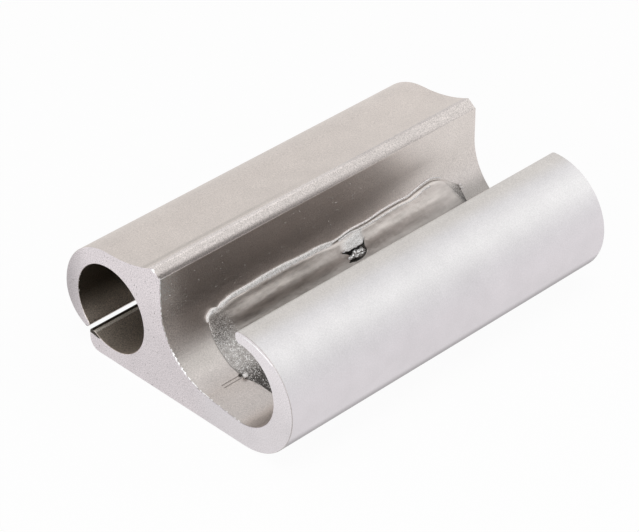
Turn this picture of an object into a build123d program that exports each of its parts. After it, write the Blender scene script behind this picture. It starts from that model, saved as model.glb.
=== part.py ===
from build123d import *

import os
from math import acos, asin, atan2, cos, degrees, hypot, radians, sin, sqrt

# Run-and-tap compression connector. One extrusion holds a slit tube for the tap conductor
# and an open groove, with a lip that a press folds over, for the run conductor. The groove
# comes primed: a layer of joint compound lies in it under a sealing film. X runs across the
# section, Y along both conductors and Z up from the flat base. The origin is under the
# middle of the base.

length = 100.0

# Tap tube
bore_radius = 11.0
tube_wall = 4.1
tube_floor = 3.3
# The upper lip thins towards the slit: its outside turns on this smaller radius.
upper_lip_taper_radius = 9.8
upper_lip_tip_radius = 0.7
slit_gap = 0.65
# The lower lip ends in a nose this far to the side of the bore's axis, with a flat landing.
lower_lip_reach = 7.7
lower_lip_height = 5.05
lower_lip_tip_radius = 0.5
landing_edge_radius = 0.5
foot_radius = 2.9

# Run groove
groove_radius = 10.5
groove_floor = 5.8
back_wall = 5.8
lip_wall = 3.1
lip_angle = 95.0
lip_tip_radius = 1.4

# Web between the tube and the groove
axis_pitch = 41.7
web_thickness = 6.0
approach_radius = 15.9
# The approach arc would reach its lowest point this much above the groove's floor.
approach_rise = 1.1
saddle_radius = 35.0
# The ridge is cut off by a flat land that slopes towards the groove.
ridge_width = 2.4
ridge_fall = 1.85
ridge_edge_radius = 0.3

# Broken edges of the sawn ends
edge_break = 0.15

# Joint compound and its film, on the web's face, the groove's floor and part of its back
compound_thickness = 0.75
film_thickness = 0.2
film_length = 81.5
film_shift = 1.25
film_top_height = 16.4
film_back_angle = 30.0
near_corner_radius = 3.5
far_corner_radius = 5.5
bond_gap = 0.05

# Beads that hold down the film's two long edges and wrap its corners
bead_width = 0.9
upper_bead_height = 1.4
bead_wrap = 4.6

# Lump of compound that has come out over the film at mid-length
lump_length = 7.2
lump_width = 7.0
lump_height = 0.9
lump_shift = 5.25
lump_drop = 2.8
lump_edge_radius = 0.5

# Places that follow from the sizes above
tube_radius = bore_radius + tube_wall
width = tube_radius + axis_pitch + groove_radius + back_wall
tube_x = tube_radius - width / 2
tube_z = tube_floor + bore_radius
groove_x = tube_x + axis_pitch
groove_z = groove_floor + groove_radius
outer_radius = (groove_floor + 2 * groove_radius + lip_wall) / 2
outer_x = width / 2 - outer_radius
web_face_x = tube_x + bore_radius + web_thickness
approach_x = web_face_x + approach_radius
approach_z = groove_floor + approach_rise + approach_radius
compound_top = bond_gap + compound_thickness
film_top = compound_top + bond_gap + film_thickness


def polar(x, z, radius, angle):
    """The point at an angle on a circle."""
    return (x + radius * cos(radians(angle)), z + radius * sin(radians(angle)))


def direction(start, end):
    """The angle of the line from one point to another, from 0 up to 360 degrees."""
    return degrees(atan2(end[1] - start[1], end[0] - start[0])) % 360


def line_meets_circle(start, angle, centre, radius):
    """Where a line that starts inside a circle leaves it."""
    dx, dz = cos(radians(angle)), sin(radians(angle))
    ox, oz = start[0] - centre[0], start[1] - centre[1]
    along = ox * dx + oz * dz
    reach = -along + sqrt(along * along - ox * ox - oz * oz + radius * radius)
    return (start[0] + reach * dx, start[1] + reach * dz)


def contact_angle():
    """The angle, on both arcs, where one straight line touches the approach and the groove."""
    dx, dz = approach_x - groove_x, approach_z - groove_z
    normal = atan2(dz, dx) - acos((approach_radius - groove_radius) / hypot(dx, dz))
    return degrees(normal) + 180


def groove_wall(inset, top_angle, back_angle):
    """The groove's wall from the web's face to the back, moved into the groove by an inset."""
    touch = contact_angle()
    approach = CenterArc((approach_x, approach_z), approach_radius - inset, top_angle, touch - top_angle)
    back = CenterArc((groove_x, groove_z), groove_radius - inset, touch - 360, back_angle - touch + 360)
    return [approach, Line(approach @ 1, back @ 0), back]


def rounded(section, corner, radius):
    """The section with the corner nearest a point rounded off."""
    nearest = section.vertices().sort_by_distance((corner[0], corner[1], 0))[0]
    return fillet(nearest, radius)


def body_section():
    """The extrusion's outline: base, groove, lip, web, tube and the two lips of the slit."""
    tube = (tube_x, tube_z)
    outer = (outer_x, outer_radius)
    nose = (tube_x - lower_lip_reach, lower_lip_height)
    landing = (tube_x - sqrt(bore_radius**2 - (tube_z - lower_lip_height) ** 2), lower_lip_height)

    # The folding lip ends square to the groove's wall.
    lip_inside = polar(groove_x, groove_z, groove_radius, lip_angle)
    lip_outside = line_meets_circle((groove_x, groove_z), lip_angle, outer, outer_radius)
    base = Line((nose[0] + foot_radius, 0), (outer_x, 0))
    barrel = CenterArc(outer, outer_radius, -90, direction(outer, lip_outside) + 90)
    wall = groove_wall(0, 180, lip_angle)

    # The web's face rises to the ridge's land, and a hollow saddle falls from there to the tube's top.
    saddle = (tube_x, tube_z + tube_radius + saddle_radius)
    crest_x = web_face_x - ridge_width
    crest = (crest_x, saddle[1] - sqrt(saddle_radius**2 - (crest_x - tube_x) ** 2))
    brow = (web_face_x, crest[1] - ridge_fall)
    face = Line((web_face_x, approach_z), brow)
    saddle_turn = direction(saddle, crest) - 270
    saddle_arc = CenterArc(saddle, saddle_radius, 270, saddle_turn)
    tube_arc = CenterArc(tube, tube_radius, 90, 90)

    # The slit's upper side is parallel to the line from the bore's axis to the lower lip's nose.
    slit_angle = direction(tube, nose)
    slit_start = polar(tube_x, tube_z, slit_gap, slit_angle - 90)
    taper = (tube_x - tube_radius + upper_lip_taper_radius, tube_z)
    tip_outside = line_meets_circle(slit_start, slit_angle, taper, upper_lip_taper_radius)
    tip_inside = line_meets_circle(slit_start, slit_angle, tube, bore_radius)
    taper_arc = CenterArc(taper, upper_lip_taper_radius, 180, direction(taper, tip_outside) - 180)
    bore_start = direction(tube, landing)
    bore_turn = direction(tube, tip_inside) + 360 - bore_start
    bore_arc = CenterArc(tube, bore_radius, bore_start, bore_turn)
    foot_arc = CenterArc((nose[0] + foot_radius, foot_radius), foot_radius, 180, 90)

    outline = [base, barrel, Line(lip_outside, lip_inside), *wall, face, Line(brow, crest), saddle_arc]
    outline += [tube_arc, taper_arc, Line(tip_outside, tip_inside), bore_arc]
    outline += [Line(landing, nose), Line(nose, foot_arc @ 0), foot_arc]
    section = make_face(Wire(outline))
    section = rounded(section, lip_outside, lip_tip_radius)
    section = rounded(section, lip_inside, lip_tip_radius)
    section = rounded(section, brow, ridge_edge_radius)
    section = rounded(section, crest, ridge_edge_radius)
    section = rounded(section, tip_outside, upper_lip_tip_radius)
    section = rounded(section, tip_inside, upper_lip_tip_radius)
    section = rounded(section, nose, lower_lip_tip_radius)
    return rounded(section, landing, landing_edge_radius)


def connector_body():
    """The section drawn out to the full length, with the edges of both sawn ends broken."""
    body = extrude(Plane.XZ * body_section(), length / 2, both=True)
    ends = body.faces().filter_by(Axis.Y)
    rims = ends.sort_by(Axis.Y)[0].edges() + ends.sort_by(Axis.Y)[-1].edges()
    return chamfer(rims, edge_break)


def film_edge_angle():
    """The approach arc's angle at the film's upper edge."""
    return 180 + degrees(asin((approach_z - film_top_height) / approach_radius))


def corner_waste(centre, wall_radius, angle, end, radius):
    """What a round corner leaves over, square to the wall at one end of a long edge."""
    foot = polar(*centre, wall_radius, angle)
    into_groove = (centre[0] - foot[0], 0, centre[1] - foot[1])
    corner = Plane((foot[0], end, foot[1]), x_dir=(0, end, 0), z_dir=into_groove)
    outline = Rectangle(2 * radius, 2 * radius)
    outline -= Pos(-radius, radius) * Circle(radius) + Pos(-radius, -radius) * Circle(radius)
    return extrude(corner * outline, radius, both=True)


def groove_layer(low, high, grow):
    """A sheet between two heights on the groove's wall, wider than the film all round by a margin."""
    top_angle = film_edge_angle() - degrees(grow / approach_radius)
    back_angle = film_back_angle + degrees(grow / groove_radius)
    under = groove_wall(low, top_angle, back_angle)
    over = groove_wall(high, top_angle, back_angle)
    ends = [Line(under[0] @ 0, over[0] @ 0), Line(under[-1] @ 1, over[-1] @ 1)]
    half = film_length / 2 + grow
    sheet = extrude(Plane.XZ * make_face(Wire(under + over + ends)), half, both=True)
    for end, radius in ((-half, near_corner_radius + grow), (half, far_corner_radius + grow)):
        sheet -= corner_waste((approach_x, approach_z), approach_radius, top_angle, end, radius)
        sheet -= corner_waste((groove_x, groove_z), groove_radius, back_angle, end, radius)
    return Pos(0, film_shift, 0) * sheet


def groove_ring(low, high, inner, outer):
    """A band all round the film, between two heights and two margins."""
    window = groove_layer(low - bond_gap, high + bond_gap, inner)
    return groove_layer(low, high, outer) - window


def joint_compound():
    """The layer of paste on the groove's wall."""
    return groove_layer(bond_gap, compound_top, 0)


def sealing_film():
    """The film over the compound, cut to the same outline."""
    return groove_layer(compound_top + bond_gap, film_top, 0)


def bead(height, side, lowest):
    """The stretch of a ring round the film that lies on one side of the groove, above a level."""
    ring = groove_ring(bond_gap, height, bond_gap, bead_width)
    ring = split(ring, Plane.YZ.offset(groove_x), keep=side)
    return split(ring, Plane.XY.offset(lowest), keep=Keep.TOP)


def upper_bead():
    """The proud bead on the web's face."""
    return bead(upper_bead_height, Keep.BOTTOM, film_top_height - bead_wrap)


def back_bead():
    """The flush bead under the lip."""
    edge = polar(groove_x, groove_z, groove_radius, film_back_angle)
    return bead(film_top, Keep.TOP, edge[1] - bead_wrap)


def compound_lump():
    """A low oval lump that laps the film's upper edge and its bead."""
    angle = film_edge_angle() + degrees(lump_drop / approach_radius)
    foot = polar(approach_x, approach_z, approach_radius, angle)
    into_groove = Vector(approach_x - foot[0], 0, approach_z - foot[1]).normalized()
    place = Plane((foot[0], film_shift + lump_shift, foot[1]), x_dir=(0, 1, 0), z_dir=into_groove)
    oval = extrude(place * Ellipse(lump_length / 2, lump_width / 2), lump_width, both=True)
    lump = oval & groove_layer(bond_gap, film_top + lump_height, lump_width)
    crown = lump.edges().sort_by(Axis(place.origin, into_groove))[-1]
    lump = fillet(crown, lump_edge_radius)
    lump -= groove_layer(0, film_top + bond_gap, bond_gap)
    return lump - groove_ring(0, upper_bead_height + bond_gap, 0, bead_width + bond_gap)


os.makedirs("parts", exist_ok=True)
pieces = {
    "connector_body": connector_body(),
    "joint_compound": joint_compound(),
    "sealing_film": sealing_film(),
    "upper_bead": upper_bead(),
    "back_bead": back_bead(),
    "compound_lump": compound_lump(),
}
for name, piece in pieces.items():
    export_step(piece, f"parts/{name}.step")
    box = piece.bounding_box()
    print(f"{name}: {box.size.X:.2f} x {box.size.Y:.2f} x {box.size.Z:.2f} mm, {piece.volume:.0f} mm3")
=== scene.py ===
# %% [markdown]
# # A compression connector on a white table
#
# The object is one length of aluminium extrusion. A press closes it round two bare
# conductors: the slit tube takes the tap, and the open groove takes the run. The groove
# comes primed with grey joint compound, sealed under a thin clear film. The engineering
# model is loaded first and never moved: everything below is finish, and the pieces that
# are too soft or too ragged for an engineering model.

# %% Load the engineering model
import math

import bmesh
import bpy
import numpy as np
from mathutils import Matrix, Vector, noise
from mathutils.geometry import delaunay_2d_cdt


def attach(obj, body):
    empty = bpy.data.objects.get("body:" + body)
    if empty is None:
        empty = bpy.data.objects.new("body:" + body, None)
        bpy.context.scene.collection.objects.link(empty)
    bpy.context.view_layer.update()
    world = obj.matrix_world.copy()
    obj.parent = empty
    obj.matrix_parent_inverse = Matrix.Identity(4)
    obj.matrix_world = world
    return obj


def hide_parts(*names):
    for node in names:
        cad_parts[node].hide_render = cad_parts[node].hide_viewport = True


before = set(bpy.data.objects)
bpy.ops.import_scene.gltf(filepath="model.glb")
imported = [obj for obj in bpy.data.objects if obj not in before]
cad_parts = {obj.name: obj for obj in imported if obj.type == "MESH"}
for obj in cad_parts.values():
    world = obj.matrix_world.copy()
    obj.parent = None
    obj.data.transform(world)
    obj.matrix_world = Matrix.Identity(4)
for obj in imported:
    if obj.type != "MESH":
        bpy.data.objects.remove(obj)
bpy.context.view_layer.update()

mm = 0.001
print("pieces:", ", ".join(sorted(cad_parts)))

# %% [markdown]
# Every colour below is picked as an sRGB hex value, the way a designer reads it off a
# swatch. A shader works in linear light, so one function converts. A second function adds
# a node with its settings and links, which keeps each material short enough to read. It
# serves shader trees and Geometry Nodes trees alike.

# %% Colour, node and scene helpers


def to_linear(hex_colour):
    """Turns an sRGB hex colour into linear red, green, blue and a solid alpha, by the sRGB curve."""
    values = [int(hex_colour[i:i + 2], 16) / 255 for i in (1, 3, 5)]
    return [v / 12.92 if v <= 0.04045 else ((v + 0.055) / 1.055) ** 2.4 for v in values] + [1.0]


def add(tree, kind, inputs=None, **settings):
    """Adds a node, sets its properties, and feeds its inputs with links or plain values."""
    made = tree.nodes.new(kind)
    for name, value in settings.items():
        setattr(made, name, value)
    for key, value in (inputs or {}).items():
        if isinstance(value, bpy.types.NodeSocket):
            tree.links.new(value, made.inputs[key])
        else:
            made.inputs[key].default_value = value
    return made


def empty_tree(owner):
    """The node tree of a material or a world, cleared."""
    owner.use_nodes = True
    owner.node_tree.nodes.clear()
    return owner.node_tree


def put_in_scene(name, data):
    """A new object in the scene, at the origin."""
    made = bpy.data.objects.new(name, data)
    bpy.context.scene.collection.objects.link(made)
    return made


print("white in linear light:", to_linear("#FFFFFF"))

# %% [markdown]
# The camera looks down on the near sawn end from the right, through a long lens, so the
# long edges hardly converge. Its place was worked out from the corners of the end face.

# %% Camera
camera_azimuth = math.radians(45.47)
camera_elevation = math.radians(34.89)
camera_distance = 666.7 * mm
camera_aim = Vector((-1.58, -4.45, 13.64)) * mm

toward_camera = Vector((
    math.sin(camera_azimuth) * math.cos(camera_elevation),
    -math.cos(camera_azimuth) * math.cos(camera_elevation),
    math.sin(camera_elevation),
))
camera_data = bpy.data.cameras.new("product_camera")
camera_data.sensor_width = 36.0
camera_data.lens = 165.35
camera = put_in_scene("product_camera", camera_data)
camera.location = camera_aim + toward_camera * camera_distance
camera.rotation_euler = (-toward_camera).to_track_quat("-Z", "Y").to_euler()
bpy.context.scene.camera = camera
print("camera at", [round(v / mm, 1) for v in camera.location], "mm")

# %% [markdown]
# A white cut-out look needs a floor that reads as white and still holds the object's
# shadow. So the floor is a pale diffuse sheet with a share of plain white glow. Only the
# camera, mirrors and lenses see that glow: the metal reflects it, but it adds no light of
# its own. The room is made the same way, bright to the eye and dimmer as a light.

# %% Floor and surroundings
floor_size = 3.0
floor_glow = 0.94
room_light = 0.55


def white_to_the_eye(tree):
    """1 for rays from the camera, a mirror or a lens, and 0 for the light that falls on things."""
    path = add(tree, "ShaderNodeLightPath").outputs
    seen = path["Is Camera Ray"]
    for kind in ("Is Glossy Ray", "Is Transmission Ray"):
        seen = add(tree, "ShaderNodeMath", {0: seen, 1: path[kind]}, operation="MAXIMUM").outputs[0]
    return seen


def paper_floor():
    """Matt white paper with a glow for the eye."""
    material = bpy.data.materials.new("matt white paper")
    tree = empty_tree(material)
    paper = add(tree, "ShaderNodeBsdfDiffuse", {"Color": to_linear("#F7F7F7")})
    glow = add(tree, "ShaderNodeEmission", {"Color": to_linear("#FFFFFF"), "Strength": 1.0})
    share = add(tree, "ShaderNodeMath", {0: white_to_the_eye(tree), 1: floor_glow}, operation="MULTIPLY")
    mixed = add(tree, "ShaderNodeMixShader", {0: share.outputs[0], 1: paper.outputs[0], 2: glow.outputs[0]})
    add(tree, "ShaderNodeOutputMaterial", {"Surface": mixed.outputs[0]})
    return material


floor_mesh = bpy.data.meshes.new("floor")
corners = [(x * floor_size / 2, y * floor_size / 2, 0) for x, y in ((-1, -1), (1, -1), (1, 1), (-1, 1))]
floor_mesh.from_pydata(corners, [], [(0, 1, 2, 3)])
floor_mesh.materials.append(paper_floor())
floor = put_in_scene("floor", floor_mesh)

world = bpy.data.worlds.new("white studio")
sky = empty_tree(world)
seen_sky = add(sky, "ShaderNodeBackground", {"Color": to_linear("#F8F9FB"), "Strength": 1.0})
room = add(sky, "ShaderNodeBackground", {"Color": to_linear("#FFFFFF"), "Strength": room_light})
shades = {0: white_to_the_eye(sky), 1: room.outputs[0], 2: seen_sky.outputs[0]}
chosen = add(sky, "ShaderNodeMixShader", shades)
add(sky, "ShaderNodeOutputWorld", {"Surface": chosen.outputs[0]})
bpy.context.scene.world = world
print("floor glow", floor_glow, "room light", room_light)

# %% [markdown]
# Satin metal shows its lamps as broad soft bands, so every lamp is a large soft box. The
# key hangs over the near end and the fill stands by the camera. A weak one at the far right
# lifts the barrel's shaded side, and the one behind draws the light band along its top.

# %% Lamps


def soft_box(name, place, aim, size, watts, tint):
    """A square lamp that faces a point."""
    data = bpy.data.lights.new(name, "AREA")
    data.color = to_linear(tint)[:3]
    data.shape = "SQUARE"
    data.size = size
    data.energy = watts
    lamp = put_in_scene(name, data)
    lamp.location = Vector(place)
    lamp.rotation_euler = (Vector(aim) - lamp.location).to_track_quat("-Z", "Y").to_euler()


soft_box("key_from_above", (0.10, -0.10, 0.60), (0, 0, 0), 0.40, 0.65, "#FFFFFF")
soft_box("fill_by_the_camera", (0.33, -0.58, 0.36), (0, 0, 0.01), 0.30, 1.1, "#FFFFFF")
soft_box("glow_from_the_far_right", (0.42, 0.35, 0.28), (0.01, 0.02, 0.02), 0.36, 0.06, "#FFFFFF")
soft_box("band_from_behind", (0.25, 0.42, 0.46), (0.02, 0, 0.02), 0.40, 0.28, "#F4FAF5")

# %% [markdown]
# All materials below are made the same way: a pattern in real millimetres, a colour that
# goes from a dark to a light tone with it, and a bump that gives it depth. Three helpers
# hold what they share.

# %% Material helpers


def new_material(name):
    """An empty material, its tree, and the place on the part in mm: a scale of 4 is 4 grains to the mm."""
    material = bpy.data.materials.new(name)
    tree = empty_tree(material)
    place = add(tree, "ShaderNodeTexCoord").outputs["Object"]
    in_mm = add(tree, "ShaderNodeVectorMath", {0: place, "Scale": 1 / mm}, operation="SCALE").outputs[0]
    return material, tree, in_mm


def two_tone(tree, pattern, low, dark, high, light):
    """A colour that goes from dark to light as a pattern rises from low to high."""
    share = add(tree, "ShaderNodeMapRange", {"Value": pattern, "From Min": low, "From Max": high}).outputs[0]
    tones = {0: share, 6: to_linear(dark), 7: to_linear(light)}
    return add(tree, "ShaderNodeMix", tones, data_type="RGBA").outputs[2]


def surface(tree, inputs, relief=None, depth=0.0):
    """The surface shader with its inputs and a bump of some depth in mm, joined to the output."""
    if relief:
        bump = {"Strength": 1.0, "Distance": depth * mm, "Height": relief}
        inputs = {**inputs, "Normal": add(tree, "ShaderNodeBump", bump).outputs[0]}
    shader = add(tree, "ShaderNodeBsdfPrincipled", inputs)
    add(tree, "ShaderNodeOutputMaterial", {"Surface": shader.outputs["BSDF"]})


print("helpers:", ", ".join(made.__name__ for made in (new_material, two_tone, surface)))

# %% [markdown]
# The body is an aluminium extrusion. The die leaves faint lines along its length, the
# tumbling barrel a fine satin grain, the saw two matt end faces, and the bore is darkened
# with painted shade. One material does it all, so no edge shows where two materials meet.
# It is built in stages: patterns, then masks that say which face a point is on, then the
# finish of each face, some with painted light and shade, then painted light and shade
# within a face, and the relief last.

# %% Sizes of the section that the finish follows, in mm
half_length = 50.0
bore_radius = 11.0
bore_centre = (-21.45, 0, 14.3)
landing_edge_x = -27.4
web_wall = 6.0
web_face_x = bore_centre[0] + bore_radius + web_wall
brow_height = 30.75
approach_radius = 15.9
approach_centre = (web_face_x + approach_radius, 0, 22.8)
groove_radius = 10.5
bore_to_groove = 41.7
groove_centre = (bore_centre[0] + bore_to_groove, 0, 16.3)
outer_radius = 14.95
outer_centre = (21.6, 0, outer_radius)
print("bore", 2 * bore_radius, "mm and groove", 2 * groove_radius, "mm across")

# %% [markdown]
# Four noises carry the look of the metal. In features to the millimetre they are: grain
# from the tumbling, blotches where the metal took it unevenly, chips along torn edges, and
# dots for the pores of the saw's cut. A fifth is stretched along the part for the die's
# lines, which are finer on the real metal and drawn as coarse as they need to show.

# %% Patterns in the metal
die_line_scale = (2.2, 0.03, 2.2)
aluminium, tree, place = new_material("aluminium, extruded, sawn and tumbled")
across, along, height = add(tree, "ShaderNodeSeparateXYZ", {0: place}).outputs
grain, blotch, chips, dots = [
    add(tree, "ShaderNodeTexNoise",
        {"Vector": place, "Scale": scale, "Detail": detail, "Roughness": roughness}).outputs[0]
    for scale, detail, roughness in ((3.4, 3.0, 0.6), (0.16, 3.0, 0.5), (1.1, 3.0, 0.6), (1.9, 1.0, 0.5))]
drawn_out = add(tree, "ShaderNodeVectorMath", {0: place, 1: die_line_scale}, operation="MULTIPLY").outputs[0]
die_lines = add(tree, "ShaderNodeTexNoise", {"Vector": drawn_out, "Scale": 1.0, "Detail": 2.0}).outputs[0]
print("patterns in", aluminium.name)

# %% [markdown]
# A mask is 1 on one face and 0 off it. Each is a product of limits on the place: a limit
# gives a value, where it is 0 and where it is 1. Distances from the lines through the
# bore's and the groove's centres find the round faces. Texture added to a place makes a
# mask's edge wander, as a torn or worn edge does.

# %% Masks for the faces of the part


def within(tree, *limits):
    """The product of masks and of limits (value, where it is 0, where it is 1), smooth between."""
    product = 1.0
    for limit in limits:
        if isinstance(limit, tuple):
            span = {"Value": limit[0], "From Min": limit[1], "From Max": limit[2]}
            limit = add(tree, "ShaderNodeMapRange", span, interpolation_type="SMOOTHSTEP").outputs[0]
        product = add(tree, "ShaderNodeMath", {0: product, 1: limit}, operation="MULTIPLY").outputs[0]
    return product


def from_axis(tree, place, centre):
    """Distance from a line that runs along the part, in mm."""
    flat = add(tree, "ShaderNodeVectorMath", {0: place, 1: (1, 0, 1)}, operation="MULTIPLY").outputs[0]
    return add(tree, "ShaderNodeVectorMath", {0: flat, 1: centre}, operation="DISTANCE").outputs["Value"]


ragged_across, chipped_height, chipped_across = [
    add(tree, "ShaderNodeMath", {0: texture, 1: reach, 2: value}, operation="MULTIPLY_ADD").outputs[0]
    for value, texture, reach in ((across, grain, 1.2), (height, chips, -1.4), (across, chips, -2.0))]
from_middle = add(tree, "ShaderNodeMath", {0: along}, operation="ABSOLUTE").outputs[0]
sawn = within(tree, (from_middle, half_length - 0.12, half_length - 0.04))
not_sawn = add(tree, "ShaderNodeMath", {0: 1.0, 1: sawn}, operation="SUBTRACT").outputs[0]
in_bore = within(tree, (from_axis(tree, place, bore_centre), bore_radius + 0.3, bore_radius + 0.1))
by_wall = within(tree, (from_axis(tree, place, approach_centre), approach_radius + 4, approach_radius + 3.5),
                 (across, 15, 14), (across, web_face_x - 0.25, web_face_x - 0.1))
by_seat = within(tree, (from_axis(tree, place, groove_centre), groove_radius + 1.3, groove_radius + 0.9))
in_groove = add(tree, "ShaderNodeMath", {0: by_wall, 1: by_seat}, operation="MAXIMUM").outputs[0]
on_barrel = within(tree, (from_axis(tree, place, outer_centre), outer_radius - 0.5, outer_radius - 0.2))
on_land = within(tree, (ragged_across, -7.8, -7.4), (height, 29.5, 30.2),
                 (across, web_face_x, web_face_x - 0.15))
on_landing = within(tree, (height, 5.5, 5.3), (height, 4.8, 4.9),
                    (across, landing_edge_x + 0.6, landing_edge_x + 0.2))
print("masks made of", len(tree.nodes), "nodes")

# %% [markdown]
# Each row of the table is one finish and the limits of its place, and some rows are
# painted light or shade. Later rows lie over earlier ones, like coats of paint with soft
# edges: the tube over the two rows for the barrel's top, the land's crest over the land,
# the painted highlight along the landing's inner edge over its painted shade. The grain
# shows most where the metal is roughest, on the saw's cut, on the ridge and in the bore.

# %% One finish for each place, some of them painted light and shade
colour, contrast = to_linear("#DCD7DA"), 0.2
rough = add(tree, "ShaderNodeMapRange", {"Value": blotch, "From Min": 0.3, "From Max": 0.7,
                                         "To Min": 0.445, "To Max": 0.475}).outputs[0]
finishes = (
    # place, colour, roughness, how strongly the grain shows
    ([(height, 17, 27)], "#D5D2D2", 0.46, 0.45),  # upper half of the barrel, tinted as a painted reflection of the light band
    ([(across, 26.5, 22), (height, 28, 29.3)], "#D1CCC7", 0.46, 0.6),  # its crest, tinted as a painted reflection
    ([on_barrel, (across, 28, 30), (height, 9.9, 6.2)], "#A19C9E", 0.46, 0.3),  # painted shade along its underside
    ([(across, -5.5, -7), (height, 0.2, 3.0)], "#D3CAC3", 0.46, 0.8),  # tube
    ([in_groove], "#DBD3CE", 0.33, 0.9),
    ([in_groove, (along, -40, -50), (height, 11, 17)], "#F6EEE8", 0.42, 1.6),  # painted light at the wall's near end
    ([(across, -11.0, -10.0), (across, -8.8, -9.5), (height, 28, 29), (along, 5, -25)],
     "#C3BBB4", 0.46, 0.9),  # painted shade in the valley at the foot of the ridge
    ([on_land], "#CBC4C0", 0.58, 1.5),
    ([on_land, (across, -6.4, -6.9), (along, 16, 2)], "#DDD6D2", 0.58, 1.7),  # land's crest
    # Painted shade darkens the bore, a recess.
    ([in_bore], "#958D83", 0.41, 1.4),
    ([in_bore, (across, -27, -32)], "#6B6359", 0.41, 1.6),  # painted shade on the bore's outer side
    ([in_bore, (height, 14, 7)], "#C6BAAD", 0.53, 2.0),  # painted light on the bore's lower half
    # Painted shade darkens the slit's landing, and a painted highlight runs along its inner edge.
    ([on_landing], "#57514A", 0.50, 1.0),
    ([on_landing, (across, landing_edge_x - 0.7, landing_edge_x - 0.4)], "#F4ECE2", 0.60, 1.6),
    ([sawn], "#DFD8DA", 0.50, 1.4),
    ([sawn, (across, 4, 12)], "#DED9DB", 0.50, 0.7),  # cut of the barrel
    ([on_barrel, (across, 8, 9), (from_middle, half_length - 0.18, half_length - 0.14),
      (from_middle, half_length, half_length - 0.03)], "#CCC6C4", 0.62, 0.8),  # barrel's broken edge, rougher and darkened as painted shade
    ([sawn, (chipped_height, 3.25, 3.35), (height, 5.6, 5.4), (chipped_across, -25.8, -26.3)],
     "#4E4842", 0.60, 1.2),  # slit's lower lip: a ragged torn edge, its dark tone painted shade
)
for limits, tint, roughness, strength in finishes:
    mask = within(tree, *limits)
    tones = {0: mask, 6: colour, 7: to_linear(tint)}
    colour = add(tree, "ShaderNodeMix", tones, data_type="RGBA").outputs[2]
    rough = add(tree, "ShaderNodeMix", {0: mask, 2: rough, 3: roughness}).outputs[0]
    contrast = add(tree, "ShaderNodeMix", {0: mask, 2: contrast, 3: strength}).outputs[0]
print(len(finishes), "finishes")

# %% [markdown]
# A part is never evenly bright. The blotches and the grain lighten and darken the metal a
# little, at random. The rest is painted light and shade: the metal is painted lighter
# towards its far end; the saw's cut is painted brightest high on the web and towards the
# barrel, and darkest at the tube's outer side; painted shade darkens the groove in a band
# low on its wall, over most of its far mouth, in a band between that lightens further
# along, and towards its far end, while painted light brightens it high on its wall and
# over its middle stretch. Each row is a factor that changes evenly along a value, within
# its mask.

# %% Light and shade within the faces


def graded(tree, rows, everywhere=1.0):
    """A factor: the product of rows (mask, value, two places along it, the factor at each)."""
    product = 1.0
    for mask, value, start, end, at_start, at_end in rows:
        span = {"Value": value, "From Min": start, "From Max": end, "To Min": at_start, "To Max": at_end}
        factor = add(tree, "ShaderNodeMapRange", span).outputs[0]
        factor = add(tree, "ShaderNodeMix", {0: mask, 2: 1.0, 3: factor}).outputs[0]
        product = add(tree, "ShaderNodeMath", {0: product, 1: factor}, operation="MULTIPLY").outputs[0]
    return add(tree, "ShaderNodeMix", {0: everywhere, 2: 1.0, 3: product}).outputs[0]


off_average = add(tree, "ShaderNodeMath", {0: grain, 1: 0.5}, operation="SUBTRACT").outputs[0]
grainy = add(tree, "ShaderNodeMath", {0: off_average, 1: contrast, 2: 1.0},
             operation="MULTIPLY_ADD").outputs[0]
# The blotches vary the tone at random; the second row is painted light, lighter towards the far end.
uneven = graded(tree, ((1.0, blotch, 0.3, 0.7, 0.965, 1.025), (1.0, along, 5, half_length, 1.0, 1.06)))
# Painted light and shade on the saw's cut: lighter higher up and towards the barrel, darker at the tube's
# outer side.
saw_cut = graded(tree, (
    (1.0, height, 12, 25, 0.93, 1.06),
    (1.0, across, -35, -29, 0.72, 1.0),
    (1.0, across, 8, 24, 1.0, 1.07),
), sawn)
# Painted shade and light in the groove, away from the saw's cut.
groove = graded(tree, (
    (within(tree, (height, 14.5, 11.0)), height, 11.0, 14.5, 0.81, 0.81),  # painted shade low on the wall
    (within(tree, (height, 16.5, 11.5), (along, 34, 43)), along, 34, 43, 0.54, 0.54),  # painted shade over the far mouth
    (within(tree, (height, 26, 18), (height, 8.2, 9.8)), along, -10, 30, 0.85, 0.93),  # painted shade in a band between, lighter further along
    (within(tree, (height, 21, 27)), along, 5, 40, 1.15, 1.0),  # painted light high on the wall, fading towards the far end
    (within(tree, (along, 0, 18), (along, 36, 20)), along, 0, 36, 1.1313, 1.1313),  # painted light over the middle stretch
    # painted shade deepening towards the groove's far end
    (1.0, along, 22, 38, 0.99, 0.9405),
), within(tree, in_groove, not_sawn))
for factor in (grainy, uneven, saw_cut, groove):
    colour = add(tree, "ShaderNodeVectorMath", {0: colour, "Scale": factor}, operation="SCALE").outputs[0]
print("shaded by", len(tree.nodes), "nodes")

# %% [markdown]
# Two small marks make the part a real one. The saw's cut has dark pores, sparse, and
# plainest on the web. And where the film was trimmed at the near end, the knife left two
# scratches side by side in the groove's floor. They are faint where the grain is dark.

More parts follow.
